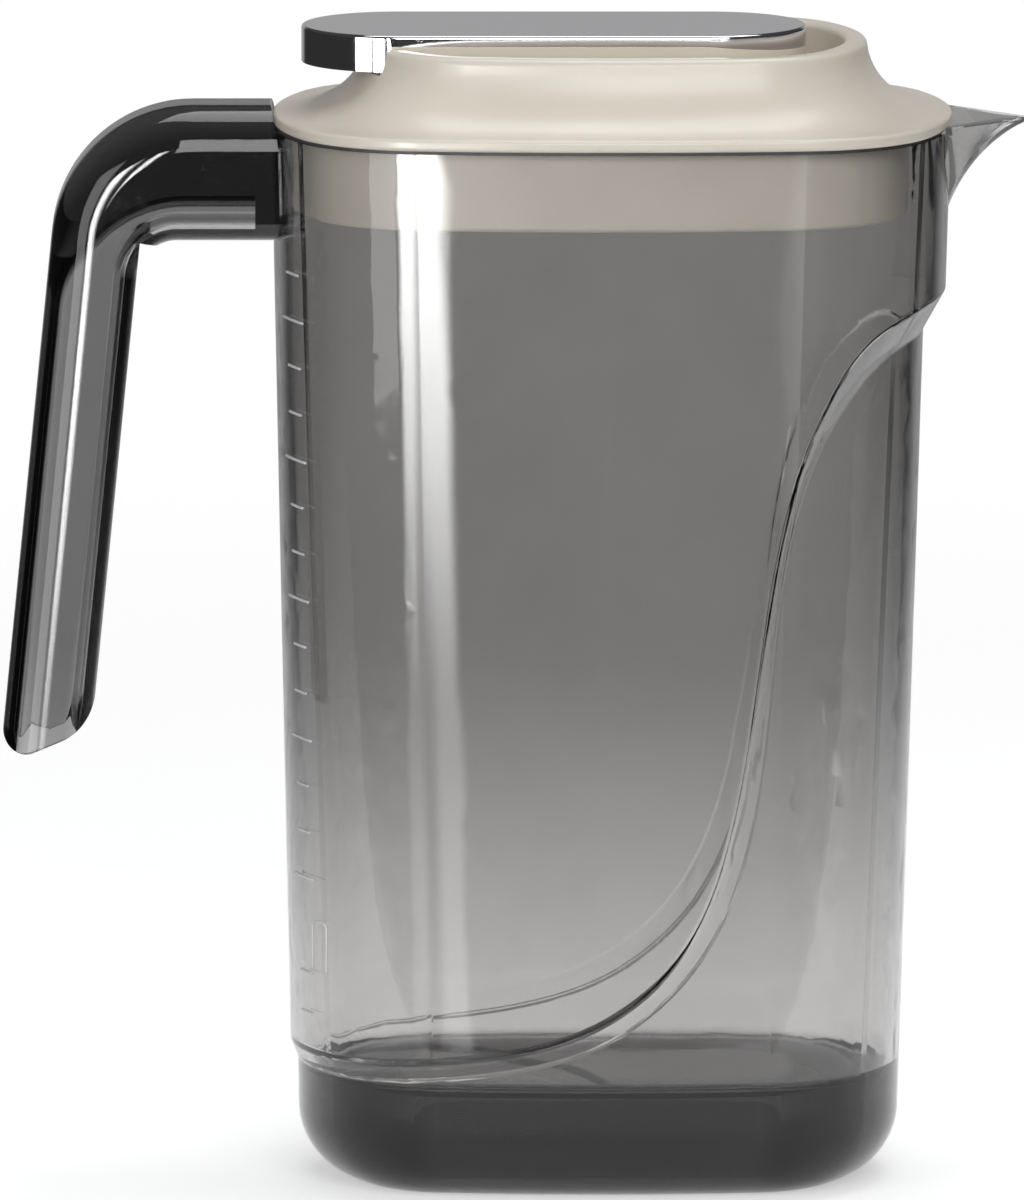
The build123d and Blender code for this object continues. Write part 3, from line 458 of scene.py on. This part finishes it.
# %% Smoky clear plastic
def clear_finish(name, tint, density, shadow, roughness=0.012, smudge=0.05, bump=0.05 * MM, waves=26.0):
    material, nodes, links = new_material(name)
    place = nodes.new("ShaderNodeTexCoord").outputs["Object"]
    mould = place_group(nodes, links, moulded, place, {"Waves": waves, "Grain": 1200.0, "Grain share": 0.002})
    hands = place_group(nodes, links, handled, place, {"Scratches": 240.0, "Smudges": 16.0})
    shader = nodes.new("ShaderNodeBsdfPrincipled")
    shader.inputs["IOR"].default_value = 1.5
    shader.inputs["Transmission Weight"].default_value = 1.0
    drift = between(nodes, links, mould["Drift"], 0.3, 0.7)
    thinner = tuple(1.03 * c for c in tint)
    thicker = tuple(0.97 * c for c in tint)
    links.new(mixed(nodes, links, drift, thinner, thicker), shader.inputs["Base Color"])
    rough = maths(nodes, links, "MULTIPLY_ADD", hands["Smudge"], smudge, roughness)
    rough = maths(nodes, links, "MULTIPLY_ADD", hands["Scratch"], 0.15, rough)
    links.new(rough, shader.inputs["Roughness"])
    links.new(bumped(nodes, links, mould["Height"], bump), shader.inputs["Normal"])
    unbent = nodes.new("ShaderNodeBsdfTransparent")
    unbent.inputs["Color"].default_value = (*shadow, 1)
    path = nodes.new("ShaderNodeLightPath")
    surface = nodes.new("ShaderNodeMixShader")
    links.new(path.outputs["Is Shadow Ray"], surface.inputs[0])
    links.new(shader.outputs[0], surface.inputs[1])
    links.new(unbent.outputs[0], surface.inputs[2])
    body = nodes.new("ShaderNodeVolumeAbsorption")
    body.inputs["Color"].default_value = (0.10, 0.095, 0.10, 1)
    body.inputs["Density"].default_value = density
    out = nodes.new("ShaderNodeOutputMaterial")
    links.new(surface.outputs[0], out.inputs["Surface"])
    links.new(body.outputs[0], out.inputs["Volume"])
    return material


smoky = clear_finish("smoky_clear", (0.90, 0.89, 0.88), 88.0, (1.0, 1.0, 1.0))
smoky_handle = clear_finish("smoky_handle", (0.96, 0.955, 0.955), 125.0, (0.9, 0.9, 0.9))
print("clear plastics:", smoky.name, smoky_handle.name)

# %% [markdown]
# Every CAD node whose shape is right stays and only takes its finish.

# %% Finishes on the CAD nodes
CAD_FINISH = {
    "jug_body": smoky, "handle": smoky_handle, "lid_top": cream_lid, "lid_plug": cream_plug,
    "pour_strainer": strainer_plastic, "lid_gasket": silicone, "lever_body": cream_lever,
    "lever_cap": chrome, "lever_pin": pin_steel, "cap_screws": screw_steel,
    "gate_arm": gate_plastic, "gate_seal": gate_rubber,
}
for name, finish in CAD_FINISH.items():
    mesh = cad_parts[name].data
    mesh.materials.clear()
    mesh.materials.append(finish)
print("finished nodes:", len(CAD_FINISH))

# %% [markdown]
# The near wall carries a filling scale: fine raised ticks up its rear corner, every third one longer. They
# could be painted in the material, but then they would not catch the light at a slant. So one tick is modelled:
# a thin sheet, divided along its length, that Shrinkwrap lays on the curved wall and Solidify makes a ridge of.
# The sheet is modelled once, and each height gets a copy with its own mesh before it is laid on the wall.

# %% Scale ticks
TICK_PITCH, TICK_COUNT, FIRST_TICK, TICK_DRAFT = 10.26 * MM, 14, 69.3 * MM, 0.0195
LOW_TICKS = (39.4 * MM, 48.3 * MM)
TICK_FROM, TICK_TO, LONG_FROM, LONG_TO = -70.9 * MM, -68.4 * MM, -71.9 * MM, -67.6 * MM
TICK_HEIGHT, TICK_PROUD, TICK_SUNK, TICK_SOFT = 0.5 * MM, 0.3 * MM, 0.1 * MM, 0.08 * MM
LONG_EVERY, TICK_CUTS = 3, 7
BEFORE_WALL = -80 * MM
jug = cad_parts["jug_body"]


def only(piece):
    """Nothing but this piece is selected and active."""
    bpy.ops.object.select_all(action="DESELECT")
    piece.select_set(True)
    bpy.context.view_layer.objects.active = piece


def pick(piece, kind, wanted):
    """Opens a piece in edit mode with just the points (VERT) or edges (EDGE) selected that are wanted."""
    only(piece)
    bpy.ops.object.mode_set(mode="EDIT")
    bpy.ops.mesh.select_mode(type=kind)
    bpy.ops.mesh.select_all(action="DESELECT")
    bpy.ops.object.mode_set(mode="OBJECT")
    for item in piece.data.vertices if kind == "VERT" else piece.data.edges:
        item.select = wanted(item)
    bpy.ops.object.mode_set(mode="EDIT")


def apply_all(piece):
    only(piece)
    for modifier in list(piece.modifiers):
        bpy.ops.object.modifier_apply(modifier=modifier.name)


def place_in_mesh(piece):
    """Moves the place and size from the object into its mesh, as the CAD nodes have it."""
    only(piece)
    bpy.ops.object.transform_apply(location=True, rotation=True, scale=True)


def outwards(piece):
    only(piece)
    bpy.ops.object.mode_set(mode="EDIT")
    bpy.ops.mesh.select_all(action="SELECT")
    bpy.ops.mesh.remove_doubles(threshold=0.001 * MM)
    bpy.ops.mesh.normals_make_consistent(inside=False)
    bpy.ops.object.mode_set(mode="OBJECT")


def lay_on_wall(piece):
    """Projects the points along Y onto the near wall of the jug."""
    wrap = piece.modifiers.new("lay", "SHRINKWRAP")
    wrap.target = jug
    wrap.wrap_method = "PROJECT"
    wrap.use_project_x = wrap.use_project_z = False
    wrap.use_project_y = True
    wrap.use_negative_direction, wrap.use_positive_direction = False, True


bpy.ops.object.select_all(action="DESELECT")
bpy.ops.mesh.primitive_plane_add(size=1, location=(0, BEFORE_WALL, 0), rotation=(math.pi / 2, 0, 0))
tick = bpy.context.object
tick.name = "scale_tick"
tick.scale = (1, TICK_HEIGHT, 1)
bpy.ops.object.transform_apply(location=False, rotation=True, scale=True)
bpy.ops.object.mode_set(mode="EDIT")
bpy.ops.mesh.select_all(action="SELECT")
bpy.ops.mesh.subdivide(number_cuts=TICK_CUTS)
bpy.ops.object.mode_set(mode="OBJECT")

ticks = []
top_tick = FIRST_TICK + (TICK_COUNT - 1) * TICK_PITCH
levels = [(level, False) for level in LOW_TICKS]
levels += [(FIRST_TICK + k * TICK_PITCH, k % LONG_EVERY == 0) for k in range(TICK_COUNT)]
for level, is_long in levels:
    only(tick)
    bpy.ops.object.duplicate(linked=False)
    copy = bpy.context.object
    copy.name = f"scale_tick_{len(ticks) + 1:02d}"
    start, end = (LONG_FROM, LONG_TO) if is_long else (TICK_FROM, TICK_TO)
    copy.scale = (end - start, 1, 1)
    copy.location = ((start + end) / 2 + TICK_DRAFT * (top_tick - level), BEFORE_WALL, level)
    place_in_mesh(copy)
    lay_on_wall(copy)
    ridge = copy.modifiers.new("ridge", "SOLIDIFY")
    ridge.thickness = TICK_PROUD + TICK_SUNK
    ridge.offset = (TICK_PROUD - TICK_SUNK) / (TICK_PROUD + TICK_SUNK)
    softer = copy.modifiers.new("softer", "BEVEL")
    softer.width, softer.segments, softer.limit_method = TICK_SOFT, 2, "ANGLE"
    apply_all(copy)
    outwards(copy)
    ticks.append(copy)
bpy.data.objects.remove(tick)
nearest = min(point.co.y for copy in ticks for point in copy.data.vertices)
print("scale ticks:", len(ticks), "nearest point at y:", round(nearest, 4))

# %% [markdown]
# Under the scale a small arch is moulded on the same corner. It is drawn as an open line of points, a circle with
# its lower half taken away and two legs pulled down, and laid on the wall before it is given its thickness. A
# ready tube would be crushed flat by the projection.

# %% Arch mark
ARCH_X, ARCH_TOP, ARCH_RADIUS, ARCH_LEG, ARCH_TUBE = -63.9 * MM, 60.5 * MM, 1.5 * MM, 9.4 * MM, 0.25 * MM
LEG_PARTS = 4
bpy.ops.object.select_all(action="DESELECT")
bpy.ops.mesh.primitive_circle_add(vertices=32, radius=ARCH_RADIUS, fill_type="NOTHING",
                                  location=(ARCH_X, BEFORE_WALL, ARCH_TOP - ARCH_RADIUS),
                                  rotation=(math.pi / 2, 0, 0))
arch = bpy.context.object
arch.name = "arch_mark"
place_in_mesh(arch)
pick(arch, "VERT", lambda point: point.co.z < ARCH_TOP - 1.01 * ARCH_RADIUS)
bpy.ops.mesh.delete(type="VERT")
bpy.ops.object.mode_set(mode="OBJECT")
pick(arch, "VERT", lambda point: point.co.z < ARCH_TOP - 0.99 * ARCH_RADIUS)
for part in range(LEG_PARTS):
    bpy.ops.mesh.extrude_region_move(TRANSFORM_OT_translate={"value": (0, 0, -ARCH_LEG / LEG_PARTS)})
bpy.ops.object.mode_set(mode="OBJECT")
lay_on_wall(arch)
apply_all(arch)
bpy.ops.object.convert(target="CURVE")
arch.data.bevel_depth = ARCH_TUBE
arch.data.bevel_resolution = 2
arch.data.use_fill_caps = True
bpy.ops.object.convert(target="MESH")
arch = bpy.context.object
outwards(arch)
print("arch mark points:", len(arch.data.vertices))

# %% [markdown]
# The three screws that hold the cap are self-tapping, with a low pan head, a cross recess and a coarse thread. A
# plain peg would look wrong when the lever swings up. The shank is a row of rings that are pulled out of one disc
# by extruding and scaling in turn, the head is a bevelled disc, and its cross is cut by a Boolean with two bars.

# %% Cap screws
screw_low, screw_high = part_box("cap_screws")
SCREW_X = (-34 * MM, -8 * MM, 18 * MM)
HEAD_RADIUS, HEAD_HEIGHT, SHANK_RADIUS, CORE_RADIUS = 2.6 * MM, 1.5 * MM, 1.08 * MM, 0.82 * MM
THREAD_PITCH, CROSS_LENGTH, CROSS_WIDTH, CROSS_DEPTH = 0.7 * MM, 2.6 * MM, 0.55 * MM, 0.8 * MM
HEAD_ROUND, INTO_HEAD = 0.75 * MM, 0.05 * MM
FLANK, CREST = 0.4, 0.2
head_top = screw_low[2] + HEAD_HEIGHT

bpy.ops.object.select_all(action="DESELECT")
bpy.ops.mesh.primitive_cylinder_add(vertices=48, radius=HEAD_RADIUS, depth=HEAD_HEIGHT,
                                    location=(SCREW_X[0], 0, screw_low[2] + HEAD_HEIGHT / 2))
head = bpy.context.object
place_in_mesh(head)
under_head = screw_low[2] + HEAD_HEIGHT / 2
pick(head, "EDGE", lambda edge: all(head.data.vertices[i].co.z < under_head for i in edge.vertices))
bpy.ops.mesh.bevel(offset=HEAD_ROUND, segments=5, profile=0.6)
bpy.ops.object.mode_set(mode="OBJECT")

bpy.ops.object.select_all(action="DESELECT")
bpy.ops.mesh.primitive_circle_add(vertices=32, radius=CORE_RADIUS, fill_type="NGON",
                                  location=(SCREW_X[0], 0, head_top - INTO_HEAD))
shank = bpy.context.object
place_in_mesh(shank)
bpy.ops.object.mode_set(mode="EDIT")
bpy.ops.mesh.select_all(action="SELECT")
rest_of_shank = screw_high[2] - head_top - INTO_HEAD
turns = int(rest_of_shank / THREAD_PITCH)
for turn in range(turns):
    for rise, wide in ((FLANK, SHANK_RADIUS / CORE_RADIUS), (CREST, 1.0), (FLANK, CORE_RADIUS / SHANK_RADIUS)):
        bpy.ops.mesh.extrude_region_move(TRANSFORM_OT_translate={"value": (0, 0, rise * rest_of_shank / turns)})
        bpy.ops.transform.resize(value=(wide, wide, 1))
bpy.ops.object.mode_set(mode="OBJECT")

for turned in (0, math.pi / 2):
    bpy.ops.object.select_all(action="DESELECT")
    bpy.ops.mesh.primitive_cube_add(size=1, location=(SCREW_X[0], 0, screw_low[2]), rotation=(0, 0, turned))
    bar = bpy.context.object
    bar.scale = (CROSS_LENGTH, CROSS_WIDTH, 2 * CROSS_DEPTH)
    place_in_mesh(bar)
    cut = head.modifiers.new("cross", "BOOLEAN")
    cut.operation, cut.object, cut.solver = "DIFFERENCE", bar, "EXACT"
    apply_all(head)
    bpy.data.objects.remove(bar)
outwards(shank)
join = head.modifiers.new("shank", "BOOLEAN")
join.operation, join.object, join.solver = "UNION", shank, "EXACT"
apply_all(head)
bpy.data.objects.remove(shank)
outwards(head)
head.name = "cap_screw_1"
screws = [head]
for x in SCREW_X[1:]:
    only(head)
    bpy.ops.object.duplicate(linked=False)
    copy = bpy.context.object
    copy.name = f"cap_screw_{len(screws) + 1}"
    copy.location = (x - SCREW_X[0], 0, 0)
    place_in_mesh(copy)
    screws.append(copy)
print("screws:", len(screws), "threads on each:", turns)

# %% [markdown]
# The pin is a plain steel rod whose ends are chamfered so that it starts in its holes, and it lies across the
# hinge. The seal on the gate is a soft moulding without sharp edges. Both keep the CAD's sizes, so the pin is a
# cylinder with its rims bevelled, and the seal a merged copy of the CAD mesh with all its corners rounded.

# %% Pin and seal
PIN_CHAMFER, SEAL_ROUND = 0.35 * MM, 0.4 * MM
pin_low, pin_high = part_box("lever_pin")
pin_middle = [(a + b) / 2 for a, b in zip(pin_low, pin_high)]
bpy.ops.object.select_all(action="DESELECT")
pin_radius, pin_length = (pin_high[0] - pin_low[0]) / 2, pin_high[1] - pin_low[1]
bpy.ops.mesh.primitive_cylinder_add(vertices=64, radius=pin_radius, depth=pin_length,
                                    location=pin_middle, rotation=(math.pi / 2, 0, 0))
pin = bpy.context.object
pin.name = "steel_pin"
place_in_mesh(pin)
pick(pin, "EDGE", lambda edge: len({round(pin.data.vertices[i].co.y / MM) for i in edge.vertices}) == 1)
bpy.ops.mesh.bevel(offset=PIN_CHAMFER, segments=2)
bpy.ops.object.mode_set(mode="OBJECT")
outwards(pin)

only(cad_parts["gate_seal"])
bpy.ops.object.duplicate(linked=False)
seal = bpy.context.object
seal.name = "soft_gate_seal"
outwards(seal)
seal_edges = seal.modifiers.new("soft", "BEVEL")
seal_edges.width, seal_edges.segments, seal_edges.limit_method = SEAL_ROUND, 3, "ANGLE"
apply_all(seal)
print("pin length in mm:", round(pin_length / MM, 1), "seal faces:", len(seal.data.polygons))

# %% [markdown]
# The new pieces take their finishes and ride on the body that carries them. On the real jug the marks are its own
# clear plastic, left matt by the mould. Here a matt grey stands for it, because clear marks would hardly show.

# %% Finish and carry the new pieces
matt_mark = solid_finish("matt_mark", (0.60, 0.60, 0.61), (0.52, 0.52, 0.53), (0.7, 0.7, 0.7), 0.45)
for piece, body, finish, slot in (
        *((mark, "jug", matt_mark, "smoky_clear") for mark in (*ticks, arch)),
        *((screw, "lever", screw_steel, "screw_steel") for screw in screws),
        (pin, "lid", pin_steel, "pin_steel"), (seal, "lever", gate_rubber, "gate_rubber")):
    piece.data.materials.clear()
    piece.data.materials.append(finish)
    only(piece)
    bpy.ops.object.shade_smooth_by_angle(angle=math.radians(35))
    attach(piece, body)
for screw in screws:
    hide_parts("cap_screws")
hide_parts("lever_pin")
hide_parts("gate_seal")
print("new pieces:", len(ticks) + 1 + len(screws) + 2)
